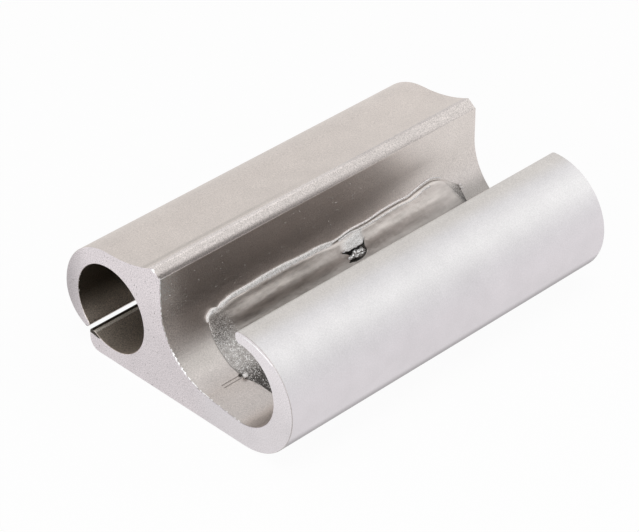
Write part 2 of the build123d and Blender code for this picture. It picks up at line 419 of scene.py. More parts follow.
# %% Pores and scratches
scratch_pair_x = 9.7
scratch_half_gap = 0.42
strength = add(tree, "ShaderNodeMapRange", {"Value": across, "From Min": 20, "From Max": -5,
                                            "To Min": 0.1, "To Max": 0.6}).outputs[0]
pores = within(tree, sawn, (chips, 0.48, 0.58), (dots, 0.63, 0.69), strength)
off_line = across
for offset in (scratch_pair_x, scratch_half_gap):
    off_line = add(tree, "ShaderNodeMath", {0: off_line, 1: offset}, operation="SUBTRACT").outputs[0]
    off_line = add(tree, "ShaderNodeMath", {0: off_line}, operation="ABSOLUTE").outputs[0]
faint = add(tree, "ShaderNodeMapRange", {"Value": grain, "From Min": 0.35, "From Max": 0.6,
                                         "To Min": 0.35, "To Max": 0.9}).outputs[0]
scratch = within(tree, (off_line, 0.2, 0.05), (across, 5, 6), (height, 9, 8), (height, 3, 4),
                 (along, -38.6, -39.0), (along, -45.4, -44.8), faint)
for mask, tint in ((pores, "#5F5854"), (scratch, "#6B655F")):
    tones = {0: mask, 6: colour, 7: to_linear(tint)}
    colour = add(tree, "ShaderNodeMix", tones, data_type="RGBA").outputs[2]
print("scratches", 2 * scratch_half_gap, "mm apart")

# %% [markdown]
# The relief adds the die's lines to the pits of the grain, which are deepest on the ridge's
# land, and cuts the scratches. Tumbling has also rounded the brow, where the land meets the
# wall. The model keeps that edge crisp, so a bump lets the land fall away faster over its
# last 1.5 mm, less and less towards the far end.

# %% Relief of the metal, and the finish on its pieces
fall_span = {"Value": height, "From Min": brow_height + 0.92, "From Max": brow_height, "To Max": 1.19}
fall = add(tree, "ShaderNodeMapRange", fall_span).outputs[0]
fading = add(tree, "ShaderNodeMapRange", {"Value": along, "From Min": -half_length, "From Max": half_length,
                                          "To Min": 1.2, "To Max": 0.15}).outputs[0]
drop = within(tree, fall, fall, fading, (across, web_face_x - 2.45, web_face_x - 1.25),
              (height, 0.005, 0.03), not_sawn)
deeper = add(tree, "ShaderNodeMapRange", {"Value": on_land, "To Min": 0.5, "To Max": 1.6}).outputs[0]
relief = within(tree, grain, deeper)
for pattern, share in ((die_lines, 0.35), (scratch, -1.0), (drop, -18.9)):
    relief = add(tree, "ShaderNodeMath", {0: pattern, 1: share, 2: relief},
                 operation="MULTIPLY_ADD").outputs[0]
surface(tree, {"Base Color": colour, "Metallic": 1.0, "Roughness": rough}, relief, 0.045)
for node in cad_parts.values():
    node.data.materials.clear()
    node.data.materials.append(aluminium)
print("finish on", len(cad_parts), "nodes:", aluminium.name)

# %% [markdown]
# The primed strip lies on the groove's curved wall, so its pieces are drawn flat first:
# `y` runs along the part, `s` runs down the wall from the film's upper edge, and `h` stands
# off the wall. One function bends a flat drawing onto the wall. A table of points along the
# wall, read with interpolation, is simpler than a formula for each arc.

# %% The groove's wall as a flat drawing board
film_top_height = 16.4
wall_top_rise = 9
back_angle = math.radians(30)


def wall_table():
    """Rows of s, x, z and the direction into the groove, from the web's top to the groove's back."""
    (ax, _, az), (gx, _, gz) = approach_centre, groove_centre
    gap = math.hypot(ax - gx, az - gz)
    touch = math.atan2(az - gz, ax - gx) - math.acos((approach_radius - groove_radius) / gap) + math.pi
    turn = np.linspace(math.pi, touch, 160)
    seat = np.linspace(touch, 2 * math.pi + back_angle, 260)
    x = [web_face_x], ax + approach_radius * np.cos(turn), gx + groove_radius * np.cos(seat)
    z = [az + wall_top_rise], az + approach_radius * np.sin(turn), gz + groove_radius * np.sin(seat)
    x, z, angle = [np.concatenate(parts) for parts in (x, z, ([math.pi], turn, seat))]
    run = np.concatenate([[0], np.cumsum(np.hypot(np.diff(x), np.diff(z)))])
    # The wall only falls over its first part, so a height is in one place there.
    falling = len(turn)
    edge = np.interp(-film_top_height, -z[:falling], run[:falling])
    return run - edge, x, z, -np.cos(angle), -np.sin(angle)


wall_s, wall_x, wall_z, wall_nx, wall_nz = wall_table()


def on_wall(y, s, h):
    """Places in mm for flat drawing points: y along the part, s down the wall, h off the wall."""
    x = np.interp(s, wall_s, wall_x) + h * np.interp(s, wall_s, wall_nx)
    z = np.interp(s, wall_s, wall_z) + h * np.interp(s, wall_s, wall_nz)
    return np.stack([x, np.broadcast_to(y, x.shape), z], 1)


print("wall from s =", round(wall_s[0], 1), "to", round(wall_s[-1], 1), "mm")

# %% [markdown]
# Ragged outlines are drawn as a few points and rounded with a spline that passes through
# each of its points, so what is measured is what is drawn. Three more functions
# say which points lie inside such a line, how far they are from it, and where the line runs
# when it is moved inwards. The last one gives the noise that roughens a height.

# %% Smooth paths through a few points


def smooth_path(points, closed, step):
    """Points about one step apart on a spline through the given ones."""
    points = np.array(points, float)
    if closed:
        ring = np.concatenate([points[-1:], points, points[:2]])
    else:
        ring = np.concatenate([2 * points[:1] - points[1:2], points, 2 * points[-1:] - points[-2:-1]])
    rows = []
    for a, b, c, d in zip(ring, ring[1:], ring[2:], ring[3:]):
        count = max(1, round(float(np.linalg.norm(c - b)) / step))
        t = (np.arange(count) / count)[:, None]
        bend = (2 * a - 5 * b + 4 * c - d) * t ** 2 + (3 * b - a - 3 * c + d) * t ** 3
        rows.append(0.5 * (2 * b + (c - a) * t + bend))
    if not closed:
        rows.append(points[-1:])
    return np.concatenate(rows)


def inside(loop, points):
    """Which points lie inside a closed loop, by counting crossings."""
    a, b = loop, np.roll(loop, -1, 0)
    x, y = points[:, 0, None], points[:, 1, None]
    spans = (a[:, 1] > y) != (b[:, 1] > y)
    rise = np.where(b[:, 1] == a[:, 1], 1, b[:, 1] - a[:, 1])
    return (spans & (x < (b[:, 0] - a[:, 0]) * (y - a[:, 1]) / rise + a[:, 0])).sum(1) % 2 == 1


def distance(line, points, closed=True):
    """Distance from each point to a line of short runs."""
    a = line if closed else line[:-1]
    b = np.roll(line, -1, 0) if closed else line[1:]
    run = b - a
    share = ((points[:, None] - a) * run).sum(2) / (run ** 2).sum(1)
    near = a + run * np.clip(share, 0, 1)[..., None]
    return np.linalg.norm(points[:, None] - near, axis=2).min(1)


def inset(loop, amount):
    """The loop moved towards its inside by an amount."""
    run = np.roll(loop, -1, 0) - np.roll(loop, 1, 0)
    sideways = np.stack([-run[:, 1], run[:, 0]], 1) / np.linalg.norm(run, axis=1)[:, None]
    turned = np.sign((loop[:, 0] * np.roll(loop[:, 1], -1) - np.roll(loop[:, 0], -1) * loop[:, 1]).sum())
    return loop + sideways * amount * turned


def fractal(octaves, *place):
    """Noise about 0, of one or more octaves, at places given as three columns or plain numbers."""
    rows = np.stack(np.broadcast_arrays(*place), 1)
    return np.array([noise.fractal(row, 1.0, 2.0, octaves) for row in rows])


square = np.array([(0, 0), (1, 0), (1, 1), (0, 1)])
print("middle of a unit square to its sides:", distance(square, square.mean(0, keepdims=True)))

# %% [markdown]
# The strip's outline isn't a clean rectangle. Its upper edge wanders, its near corner is
# tight and its far corner wide, and near mid-length the film has split and lets a lump of
# compound out. The points are millimetres on the drawing board.

# %% Outline of the film, and the split in it
upper_edge = [
    (-38.6, 4.0), (-38.3, 2.2), (-37.9, 0.9), (-37.0, 0.2), (-34.5, 0.0), (-31.0, -0.6), (-28.0, -0.8),
    (-22.0, -1.0), (-12.0, -0.9), (-5.0, -0.6), (-1.0, -0.2), (1.5, 0.0), (3.7, -0.1), (6.1, -0.4),
    (9.8, -0.45), (12.6, -0.45), (17.2, -0.75), (22.0, -0.9), (26.0, -0.75), (28.6, -1.15), (31.3, -1.5),
    (34.0, -1.7), (36.4, -1.1), (38.6, 0.0), (40.7, 1.45), (41.9, 2.8), (42.0, 4.2), (42.0, 5.5), (41.9, 8.0)]
lower_edge = [
    (41.9, 20.0), (41.9, 32.0), (42.0, 44.0), (40.6, 47.4), (37.0, 48.9), (20.0, 49.0), (0.0, 49.0),
    (-20.0, 49.0), (-36.0, 48.9), (-37.6, 47.6), (-38.2, 45.0), (-38.2, 32.0), (-38.2, 23.0), (-38.6, 20.0),
    (-39.2, 18.2), (-39.5, 16.5), (-39.4, 14.7), (-39.5, 12.8), (-39.3, 10.7), (-39.1, 8.2), (-38.9, 6.2)]
split_points = [
    (1.9, 3.1), (2.5, 2.8), (3.1, 3.1), (3.9, 3.3), (4.9, 3.1), (5.7, 3.3), (6.6, 3.2), (7.6, 3.2),
    (8.5, 2.7), (9.3, 2.1), (9.1, 3.0), (8.8, 4.1), (8.9, 5.3), (8.0, 6.05), (6.6, 6.4), (5.0, 6.4),
    (3.8, 6.15), (2.8, 5.95), (3.5, 5.4), (3.9, 4.7), (3.2, 3.9), (2.4, 3.4)]
film_outline = smooth_path(upper_edge + lower_edge, True, 0.4)
split = smooth_path(split_points, True, 0.2)
print("film outline of", len(film_outline), "points, split of", len(split))

# %% [markdown]
# A flat shape with a hole is filled with triangles by a call that keeps the shape's own
# edges. It gets rings of points just inside each edge, so a rolled edge stays smooth, and a
# grid that is fine where the eye can reach and coarse under the lip. The result is lifted to
# a top and a bottom height and closed round its edges: a sheet with a real thickness.

# %% Fill a flat drawing and bend it into a sheet
board_ends = (-41, 43.5)
board_top, board_bottom = -3, 50
ring_gap = 0.06
grid_gap = 0.15


def filled(outline, holes, rings, fine, coarse, fine_depth):
    """Points and triangles that fill an outline less its holes, on a fine grid and a coarse one below it."""
    loops = [outline] + holes

    def clear_of_loops(points, gap):
        keep = inside(outline, points)
        for hole in holes:
            keep &= ~inside(hole, points)
        for loop in loops:
            keep &= distance(loop, points) >= gap
        return points[keep]

    grids = []
    for low, high, step in ((board_top, fine_depth, fine), (fine_depth + coarse / 2, board_bottom, coarse)):
        y, s = np.meshgrid(np.arange(*board_ends, step), np.arange(low, high, step))
        y = y + step / 2 * (np.arange(y.shape[0]) % 2)[:, None]
        grids.append(clear_of_loops(np.stack([y.ravel(), s.ravel()], 1), max(rings) + grid_gap))
    for amount in rings:
        grids.append(clear_of_loops(inset(outline, amount), ring_gap))
        grids += [clear_of_loops(inset(hole, -amount), ring_gap) for hole in holes if amount < 1]
    points, edges = [], []
    for loop in loops:
        start = len(points)
        points += loop.tolist()
        edges += [(start + i, start + (i + 1) % len(loop)) for i in range(len(loop))]
    points += np.concatenate(grids).tolist()
    coords, _, faces, _, _, _ = delaunay_2d_cdt([Vector(p) for p in points], edges, [], 0, 1e-4, False)
    coords = np.array([tuple(c) for c in coords])
    faces = np.array([list(f) for f in faces])
    middle = coords[faces].mean(1)
    keep = inside(outline, middle)
    for hole in holes:
        keep &= ~inside(hole, middle)
    return coords, faces[keep]


def finished(name, corners, faces, material):
    """A smooth piece with outward faces, in the scene, from corners in mm."""
    mesh = bpy.data.meshes.new(name)
    mesh.from_pydata((corners * mm).tolist(), [], faces)
    work = bmesh.new()
    work.from_mesh(mesh)
    bmesh.ops.recalc_face_normals(work, faces=work.faces)
    work.to_mesh(mesh)
    work.free()
    mesh.shade_smooth()
    mesh.materials.append(material)
    return put_in_scene(name, mesh)


def sheet(name, coords, faces, top, bottom, material):
    """A closed sheet on the groove's wall, from a flat filling and two heights, and its flat points."""
    used = np.unique(faces)
    renumber = np.full(len(coords), -1)
    renumber[used] = np.arange(len(used))
    faces = renumber[faces]
    skins = [on_wall(*coords[used].T, np.broadcast_to(level, len(coords))[used]) for level in (top, bottom)]
    sides = np.concatenate([faces[:, [0, 1]], faces[:, [1, 2]], faces[:, [2, 0]]])
    known = {tuple(side) for side in sides.tolist()}
    rim = np.array([side for side in known if side[::-1] not in known])
    count = len(used)
    walls = np.stack([rim[:, 1], rim[:, 0], rim[:, 0] + count, rim[:, 1] + count], 1)
    shell = faces.tolist() + (faces[:, ::-1] + count).tolist() + walls.tolist()
    return finished(name, np.concatenate(skins), shell, material), coords[used]


def rolled(edge_distance, width):
    """From 0 at an edge to 1 at some width from it, on a quarter circle."""
    return np.sqrt(1 - (1 - np.minimum(edge_distance, width) / width) ** 2)


print("a rolled edge halfway in:", round(float(rolled(0.5, 1.0)), 2))

# %% [markdown]
# Clear polyethylene film lies tight on a compound full of zinc or aluminium powder. So the
# eye gets two things at once: a metallic grey from the powder, broken into long streaks
# where the compound was wiped along the groove, and over it the sharper gloss of plastic,
# which the coat of the shader gives. Three attributes of the mesh say where this changes:
# the film is `scuffed` pale round the split; the second marks grit at its near end and
# painted shade under its folded corner; the third lightens that grit in a painted glint
# and darkens it in painted shade, at the fold and low down at the near end.

# %% Film over compound


def sealed_film():
    """Clear polyethylene film over grey compound: metallic grey in long streaks under a plastic gloss."""
    material, tree, place = new_material("polyethylene film, heat sealed over grey compound")
    drawn_out = add(tree, "ShaderNodeVectorMath", {0: place, 1: (0.8, 0.16, 0.8)},
                    operation="MULTIPLY").outputs[0]
    streaks, grain = [
        add(tree, "ShaderNodeTexNoise",
            {"Vector": where, "Scale": scale, "Detail": 4.0, "Roughness": roughness}).outputs[0]
        for where, scale, roughness in ((drawn_out, 1.0, 0.6), (place, 4.2, 0.7))]
    scuffed, grit_and_fold_shade, glint_and_shade = [add(tree, "ShaderNodeAttribute", attribute_name=name).outputs["Fac"]
                              for name in ("scuffed", "grit_and_fold_shade", "glint_and_shade")]
    _, along, up = add(tree, "ShaderNodeSeparateXYZ", {0: place}).outputs
    near_half, low, crown = [
        add(tree, "ShaderNodeMapRange", {"Value": value, "From Min": start, "From Max": end}).outputs[0]
        for value, start, end in ((along, -1.0, -9.0), (up, 13.6, 11.2), (up, 14.6, 15.6))]
    # The grit's tone is lifted in a painted glint and lowered in painted shade where the third attribute says
    # so.
    grain_glint_and_shade = add(tree, "ShaderNodeMath", {0: glint_and_shade, 1: 0.10, 2: grain}, operation="MULTIPLY_ADD").outputs[0]
    # The film is darker in the near half.
    tone = two_tone(tree, streaks, 0.34, "#B9B2AD", 0.66, "#CFC7C2")
    for mask, other in ((near_half, two_tone(tree, streaks, 0.34, "#9F9893", 0.66, "#C0B8B2")),
                        (grit_and_fold_shade, two_tone(tree, grain_glint_and_shade, 0.42, "#4B4743", 0.60, "#CFCAC6")),
                        (scuffed, two_tone(tree, grain, 0.40, "#BCB8B5", 0.60, "#FFFFFF"))):
        tone = add(tree, "ShaderNodeMix", {0: mask, 6: tone, 7: other}, data_type="RGBA").outputs[2]
    # Painted shade darkens it below the ridge, towards the lip, most of all at the far end, and painted light
    # brightens the ridge's top from mid-length on.
    light = graded(tree, ((low, along, 30.0, 42.0, 0.58, 0.24), (crown, along, 8.0, 25.0, 1.0, 1.12)))
    tone = add(tree, "ShaderNodeVectorMath", {0: tone, "Scale": light}, operation="SCALE").outputs[0]
    rugged = add(tree, "ShaderNodeMath", {0: scuffed, 1: grit_and_fold_shade}, operation="MAXIMUM").outputs[0]
    depth, rough, metallic = [
        add(tree, "ShaderNodeMapRange", {"Value": value, "To Min": least, "To Max": most}).outputs[0]
        for value, least, most in ((rugged, 0.8, 1.6), (scuffed, 0.38, 0.50), (scuffed, 0.85, 0.1))]
    relief = add(tree, "ShaderNodeMath", {0: grain, 1: depth}, operation="MULTIPLY").outputs[0]
    relief = add(tree, "ShaderNodeMath", {0: streaks, 1: 0.6, 2: relief}, operation="MULTIPLY_ADD").outputs[0]
    surface(tree, {"Base Color": tone, "Metallic": metallic, "Roughness": rough, "Coat Weight": 0.15,
                   "Coat Roughness": 0.18}, relief, 0.04)
    return material


film_material = sealed_film()
print("material:", film_material.name)

# %% [markdown]
# The film's height over the wall tells most of its story. It rolls down at its edges,
# follows the long soft ridge of compound under it, is folded over at its far corner, and
# the flap above the split stands up where the compound pushed it open.

# %% Heights of the film
film_thickness = 0.2
film_plain_height = 0.75
film_edge_height = 0.1
shoulder = 1.1
wave_depth = 0.05
crumple_depth = 0.04
fold_width = 0.5
flap_hinge_width = 1.4
flap_root = [
    (1.9, 3.0), (2.2, 1.5), (3.6, 0.0), (5.9, -0.6), (8.0, -0.8), (10.2, -0.6), (10.2, 0.6), (9.6, 1.5)]
flap_lip = [
    (9.4, 2.2), (8.5, 2.8), (7.6, 3.3), (6.6, 3.3), (5.7, 3.3), (4.9, 3.2), (3.9, 3.4), (3.1, 3.2),
    (2.5, 2.9)]
flap = smooth_path(flap_root + flap_lip, True, 0.3)
flap_root = smooth_path(flap_root, False, 0.3)


def film_height(y, s):
    """Height of the film's top over the wall, in mm, and how scuffed it is, from 0 to 1."""
    flat = np.stack([y, s], 1)
    # The compound lies in a ridge under the upper part of the strip, and runs out before both ends.
    crest = np.interp(y, (-5, 15), (3.3, 3.2))
    ridge = np.exp(-((s - crest) / np.where(s < crest, 2.0, 1.7)) ** 2)
    ridge = ridge * np.interp(y, (-35, -27, -2, 1, 11, 34, 40), (0.1, 0.5, 0.45, 0.3, 0.5, 0.5, 0.0))
    thin_end = np.interp(y, (-39.5, -35.5), (0.22, 1.0))
    # Past a slanting crease at the far corner the film lies half as high.
    crease = np.interp(s, (-1.5, 0.3, 2.0, 3.9, 5.6, 9.0), (36.8, 37.8, 38.8, 39.8, 40.5, 43.0))
    folded = np.clip((y - crease) / fold_width, 0, 1) * 0.5
    waves = fractal(1, y * 0.07, s * 0.42, 3.0)
    crumple = fractal(4, y * 1.1, s * 1.1, 7.0)
    height = (film_plain_height + ridge) * (1 - folded) * thin_end
    height = height + wave_depth * waves + crumple_depth * crumple
    # The flap rises from its root towards its lip.
    off_root = distance(flap_root, flat, closed=False)
    lifted = inside(flap, flat) * np.clip(off_root / flap_hinge_width, 0, 1)
    tilt = np.clip((s + 0.5) / 3.3, 0, 1)
    height = height + lifted * (0.12 + 0.5 * tilt + 0.25 * crumple)
    roll = rolled(distance(film_outline, flat), shoulder)
    return film_edge_height + (height - film_edge_height) * roll, lifted


sample, _ = film_height(np.array([20.0]), np.array([12.0]))
print("film's top in the middle of the groove:", sample.round(2), "mm over the wall")

# %% [markdown]
# The sheet thins to a feather at its edge, where heat pressed it on to the metal. Grit lies
# on its near end, lighter in one streak down the wall as a painted glint, and darker low
# down as painted shade. Under the folded corner the grit's dark tone is painted shade too.

# %% The film sheet
film_edge_thickness = 0.06
feather_width = 0.9
grit_end_y = -31.5
coords, faces = filled(film_outline, [split], (0.12, 0.3, 0.55, 0.85, 1.15), 0.42, 1.3, 13.0)
top, _ = film_height(*coords.T)
off_edge = distance(film_outline, coords)
thickness = np.interp(off_edge, (0, feather_width), (film_edge_thickness, film_thickness))
film, flat = sheet("film_sheet", coords, faces, top, top - thickness, film_material)
y, s = flat.T
fold_line = np.interp(s, (-1.5, 3.9, 9.0), (36.8, 38.6, 40.4))
# Painted shade under the folded corner: it darkens the grit's tone there.
fold_shade = np.clip((y - fold_line) / 1.5, 0, 1) * np.clip(s / 3, 0, 1)
near_end = np.clip((grit_end_y - y) / 4, 0, 1) * np.interp(s, (0, 2, 6, 24), (0.5, 0.8, 1, 1))
# A painted glint streak down the wall on the grit, with painted shade low down.
streak = np.interp(s, (1, 4, 6, 9, 13, 16, 20, 24), (0.0, 0.1, 0.4, 1.2, 1.2, 0.3, -0.9, -1.0))
layers = {
    "scuffed": film_height(y, s)[1],
    "grit_and_fold_shade": np.maximum(near_end, 0.75 * fold_shade),
    "glint_and_shade": streak * np.clip((-30.5 - y) / 2, 0, 1) - 0.7 * fold_shade,
}
for name, values in layers.items():
    layer = film.data.attributes.new(name, "FLOAT", "POINT")
    layer.data.foreach_set("value", np.tile(values, 2).astype(np.float32))
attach(film, "root")
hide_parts("sealing_film")
print("film sheet:", len(film.data.polygons), "faces")

# %% [markdown]
# Joint compound is a grease loaded with metal powder. It shows only in the split, nearly
# black in the hollow, and past the film's edge in the far half, as a thin dark line; that
# near-black tone is painted shade for the hollow and the gap. So the bed is a second sheet,
# cut back from the film's outline by less there.

# %% Joint compound
bed_margin = 0.35
bed_margin_far = 0.08
bed_clearance = 0.03
bed_lowest, bed_highest = 0.1, 0.8
crater_share = 0.8


def grey_compound():
    """Grease with metal powder, wiped on: grainy, and near-black as painted shade."""
    material, tree, place = new_material("joint compound, grease with metal powder, wiped on")
    grit = {"Vector": place, "Scale": 2.6, "Detail": 5.0, "Roughness": 0.7}
    grain = add(tree, "ShaderNodeTexNoise", grit).outputs[0]
    colour = two_tone(tree, grain, 0.35, "#2A2724", 0.7, "#57524D")
    surface(tree, {"Base Color": colour, "Metallic": 0.3, "Roughness": 0.38}, grain, 0.1)
    return material


compound_material = grey_compound()
far_half = np.clip((film_outline[:, 0] - 1) / 3, 0, 1) * (film_outline[:, 1] < 7)
bed_outline = inset(film_outline, (bed_margin + (bed_margin_far - bed_margin) * far_half)[:, None])
coords, faces = filled(bed_outline, [], (0.3, 0.7), 0.6, 1.6, 13.0)
top, _ = film_height(*coords.T)
crater = inside(split, coords) * np.clip(distance(split, coords) / 0.4, 0, 1)
bed_top = np.minimum(top - film_thickness - bed_clearance, bed_highest) * (1 - crater_share * crater)
bed_top = np.maximum(bed_top, bed_lowest)
bed, _ = sheet("compound_bed", coords, faces, bed_top, bed_clearance, compound_material)
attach(bed, "root")
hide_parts("joint_compound")
print("compound bed:", len(bed.data.polygons), "faces")

# %% [markdown]
# The lump that came out of the split is compound crusted with metal crumbs. It is three
# balls roughened with noise, pressed flat and laid on the drawing board like the rest. The
# crust is a pattern of bright and dull cells, as broken crumbs catch the light.

# %% The lump of compound
crag_depth = 0.45
crag_scale = 1.6
ball_lowest = 0.15


def crusted_compound():
    """Compound dried to a crust of metal crumbs: bright facets in grey."""
    material, tree, place = new_material("joint compound, dried to a crust of metal crumbs")
    cells = add(tree, "ShaderNodeTexVoronoi", {"Vector": place, "Scale": 2.4}).outputs
    shade = add(tree, "ShaderNodeSeparateXYZ", {0: cells["Color"]}).outputs[0]
    colour = two_tone(tree, shade, 0.2, "#8A8683", 0.85, "#FFFFFF")
    surface(tree, {"Base Color": colour, "Metallic": 0.7, "Roughness": 0.3}, cells["Distance"], 0.2)
    return material


def craggy_balls(name, balls, material):
    """Rough balls on the drawing board as one piece, each given as y, s, h and three half sizes in mm."""
    work = bmesh.new()
    bmesh.ops.create_icosphere(work, subdivisions=4, radius=1)
    ball = np.array([tuple(v.co) for v in work.verts])
    ball_faces = np.array([[v.index for v in f.verts] for f in work.faces])
    work.free()
    corners, faces = [], []
    for number, (y, s, h, wide, tall, deep) in enumerate(balls):
        # Each ball takes its noise from another place, 5 further on.
        noise_x, noise_y, noise_z = (ball * crag_scale).T
        swell = 1 + crag_depth * fractal(4, noise_x + number * 5.0, noise_y, noise_z)
        flat = ball * swell[:, None] * (wide, tall, deep) + (y, s, h)
        faces += (ball_faces + len(ball) * number).tolist()
        corners.append(on_wall(flat[:, 0], flat[:, 1], np.maximum(flat[:, 2], ball_lowest)))
    return finished(name, np.concatenate(corners), faces, material)


lump_balls = [
    (6.3, 4.75, 1.15, 1.95, 0.95, 0.7), (4.3, 5.0, 0.95, 1.0, 0.6, 0.45), (3.0, 2.85, 1.3, 0.8, 0.22, 0.25)]
lump = craggy_balls("compound_crumbs", lump_balls, crusted_compound())
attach(lump, "root")
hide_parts("compound_lump")
print("lump:", len(lump.data.polygons), "faces")

# %% [markdown]
# The bead is hot-melt sealant pressed down along the film's edge: pale, uneven and slightly
# shiny. It is fattest where the gun stopped at the near corner, and thins out towards the
# far one. It is a sheet too, with both its edges drawn.

# %% The bead along the film's upper edge


def sealant():
    """Hot-melt sealant, pressed down: pale grey, uneven, with a soft shine."""
    material, tree, place = new_material("hot-melt sealant, pressed down")
    knobs = {"Vector": place, "Scale": 3.2, "Detail": 4.0, "Roughness": 0.7}
    grain = add(tree, "ShaderNodeTexNoise", knobs).outputs[0]
    colour = two_tone(tree, grain, 0.38, "#C9C5C3", 0.58, "#FFFDFC")
    surface(tree, {"Base Color": colour, "Roughness": 0.4}, grain, 0.08)
    return material


bead_shoulder = 0.25
bead_edge_height = 0.08
bead_clearance = 0.04
knob_depth = 0.12
bead_upper = [
    (-38.6, 1.9), (-38.55, 1.1), (-38.2, 0.4), (-37.5, -0.15), (-36.5, -0.55), (-35.5, -0.5), (-34.6, -0.25),
    (-34.1, -0.5), (-33.3, -0.8), (-32.2, -1.0), (-30.7, -1.3), (-28.9, -1.45), (-24.0, -1.5), (-20.5, -1.7),
    (-17.0, -1.7), (-13.6, -1.65), (-10.2, -1.4), (-6.7, -1.25), (-3.2, -1.25), (0.2, -0.85), (1.4, -0.65),
    (3.7, -0.75), (6.1, -1.1), (8.9, -1.15), (12.6, -1.05), (17.4, -1.5), (22.2, -1.6), (26.0, -1.5),
    (28.6, -1.9), (31.3, -2.35), (34.0, -2.55), (36.2, -1.9), (37.6, -1.2)]
bead_lower = [
    (37.4, -1.05), (36.2, -1.55), (34.0, -2.1), (31.3, -1.85), (28.6, -1.4), (26.0, -1.0), (22.2, -1.1),
    (17.4, -1.0), (12.6, -0.6), (8.9, -0.7), (6.1, -0.65), (3.7, -0.3), (1.4, -0.1), (0.0, 0.4), (-1.5, 0.55),
    (-4.3, 0.35), (-7.7, 0.2), (-11.2, 0.1), (-14.6, -0.1), (-18.1, 0.05), (-21.5, 0.0), (-24.8, -0.25),
    (-28.2, -0.3), (-30.4, -0.35), (-32.3, 0.05), (-33.7, 0.45), (-34.4, 0.45), (-35.4, 0.7), (-36.7, 0.6),
    (-37.7, 0.9), (-38.25, 1.7)]
sealant_material = sealant()
bead_outline = smooth_path(bead_upper + bead_lower, True, 0.25)
coords, faces = filled(bead_outline, [], (0.07, 0.16, 0.28), 0.3, 2.0, 2.5)
y, s = coords.T
crown = np.interp(y, (-39, -37, -35.4, -34.8, -33, -6, 2, 36), (0.7, 0.8, 0.7, 0.4, 0.65, 0.65, 0.55, 0.35))
crown = crown + knob_depth * fractal(3, y * 1.6, s * 1.6, 11.0)
roll = rolled(distance(bead_outline, coords), bead_shoulder)
bead_top = bead_edge_height + (crown - bead_edge_height) * roll
bead, _ = sheet("sealant_bead", coords, faces, bead_top, bead_clearance, sealant_material)
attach(bead, "root")
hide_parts("upper_bead")
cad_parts["back_bead"].data.materials[0] = sealant_material
print("sealant bead:", len(bead.data.polygons), "faces")

# %% [markdown]
# A pale thread in the sealant's finish lies on the film below the bead, along the film's
# rolled upper edge: a painted highlight for that edge, and a narrow sheet that follows the
# film's own height. Drops of sealant stick to the near end and to the far corner, and a
# dark spot of compound lies beside the near one.

# %% Thread, drops and a spot
thread_half_width = 0.19
thread_edge = 0.07
thread_edge_height = 0.02
thread_height = 0.12
thread_sunk = 0.05
thread_points = [(2.8, 0.1), (4.9, -0.2), (6.9, -0.35), (9.5, -0.1), (12.2, -0.03), (17.0, -0.18),
                 (21.7, -0.32), (25.4, -0.07), (28.1, -0.25), (30.9, -0.88), (33.1, -0.94)]
thread_line = smooth_path(thread_points, False, 0.3)
swell = 0.8 + 0.9 * abs(fractal(1, thread_line[:, 0] * 0.9, 4.0, 2.0))
half_width = thread_half_width * swell[:, None] * (0, 1)
thread_outline = np.concatenate([thread_line - half_width, (thread_line + half_width)[::-1]])
coords, faces = filled(thread_outline, [], (thread_edge,), 2.0, 2.0, 2.5)
on_film, _ = film_height(*coords.T)
roll = np.clip(distance(thread_outline, coords) / thread_edge, 0, 1)
thread_top = on_film + thread_edge_height + thread_height * roll
thread, _ = sheet("edge_highlight_thread", coords, faces, thread_top, on_film - thread_sunk, sealant_material)
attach(thread, "root")

drop_balls = [
    (-39.1, 17.5, 0.55, 0.6, 0.5, 0.5), (42.0, 2.6, 0.55, 0.26, 0.26, 0.35),
    (42.05, 3.5, 0.55, 0.26, 0.3, 0.35)]
drops = craggy_balls("sealant_drops", drop_balls, sealant_material)
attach(drops, "root")
spot = craggy_balls("compound_spot", [(-39.6, 16.3, 0.2, 0.35, 0.35, 0.2)], compound_material)
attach(spot, "root")
print("thread, drops and spot:", [len(piece.data.polygons) for piece in (thread, drops, spot)], "faces")

# %% [markdown]
# The last pieces repeat or follow a path, which Geometry Nodes do well: a tree is built once
# and its inputs are set for each piece. One function runs a tree on a starting mesh and
# keeps a plain mesh of the result, because an exporter drops instances.

# %% Run a tree and keep a plain mesh


def new_tree(name, inputs, output):
    """An empty Geometry Nodes tree with named inputs and one output, and the sockets of its inputs."""
    tree = bpy.data.node_groups.new(name, "GeometryNodeTree")
    for label, kind in inputs.items():
        tree.interface.new_socket(label, in_out="INPUT", socket_type="NodeSocket" + kind)
    tree.interface.new_socket(output, in_out="OUTPUT", socket_type="NodeSocketGeometry")
    return tree, add(tree, "NodeGroupInput").outputs


def grown(name, start, tree, values):
    """Runs a tree on a starting mesh and keeps the result as a plain mesh that rides on the body."""
    piece = put_in_scene(name, start)
    modifier = piece.modifiers.new("tree", "NODES")
    modifier.node_group = tree
    for item in tree.interface.items_tree:
        if item.in_out == "INPUT" and item.name in values:
            modifier[item.identifier] = values[item.name]
    evaluated = piece.evaluated_get(bpy.context.evaluated_depsgraph_get())
    piece.data = bpy.data.meshes.new_from_object(evaluated)
    piece.modifiers.clear()
    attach(piece, "root")
    print(f"{name}: {len(piece.data.polygons)} faces")
    return piece


def measured(mesh, name, values):
    """The mesh, with a number at each of its points."""
    layer = mesh.attributes.new(name, "FLOAT", "POINT")
    layer.data.foreach_set("value", np.asarray(values, np.float32).ravel())
    return mesh


print("meshes so far:", len(bpy.data.meshes))

# %% [markdown]
# Grit and crumbs: dried compound glitters on the near end of the film, and a few specks of
# it stick to the bare wall. The tree scatters small chips over a surface, as densely as the
# surface's own `grit` says, and turns and stretches each by chance.

# %% A tree for scattered crumbs


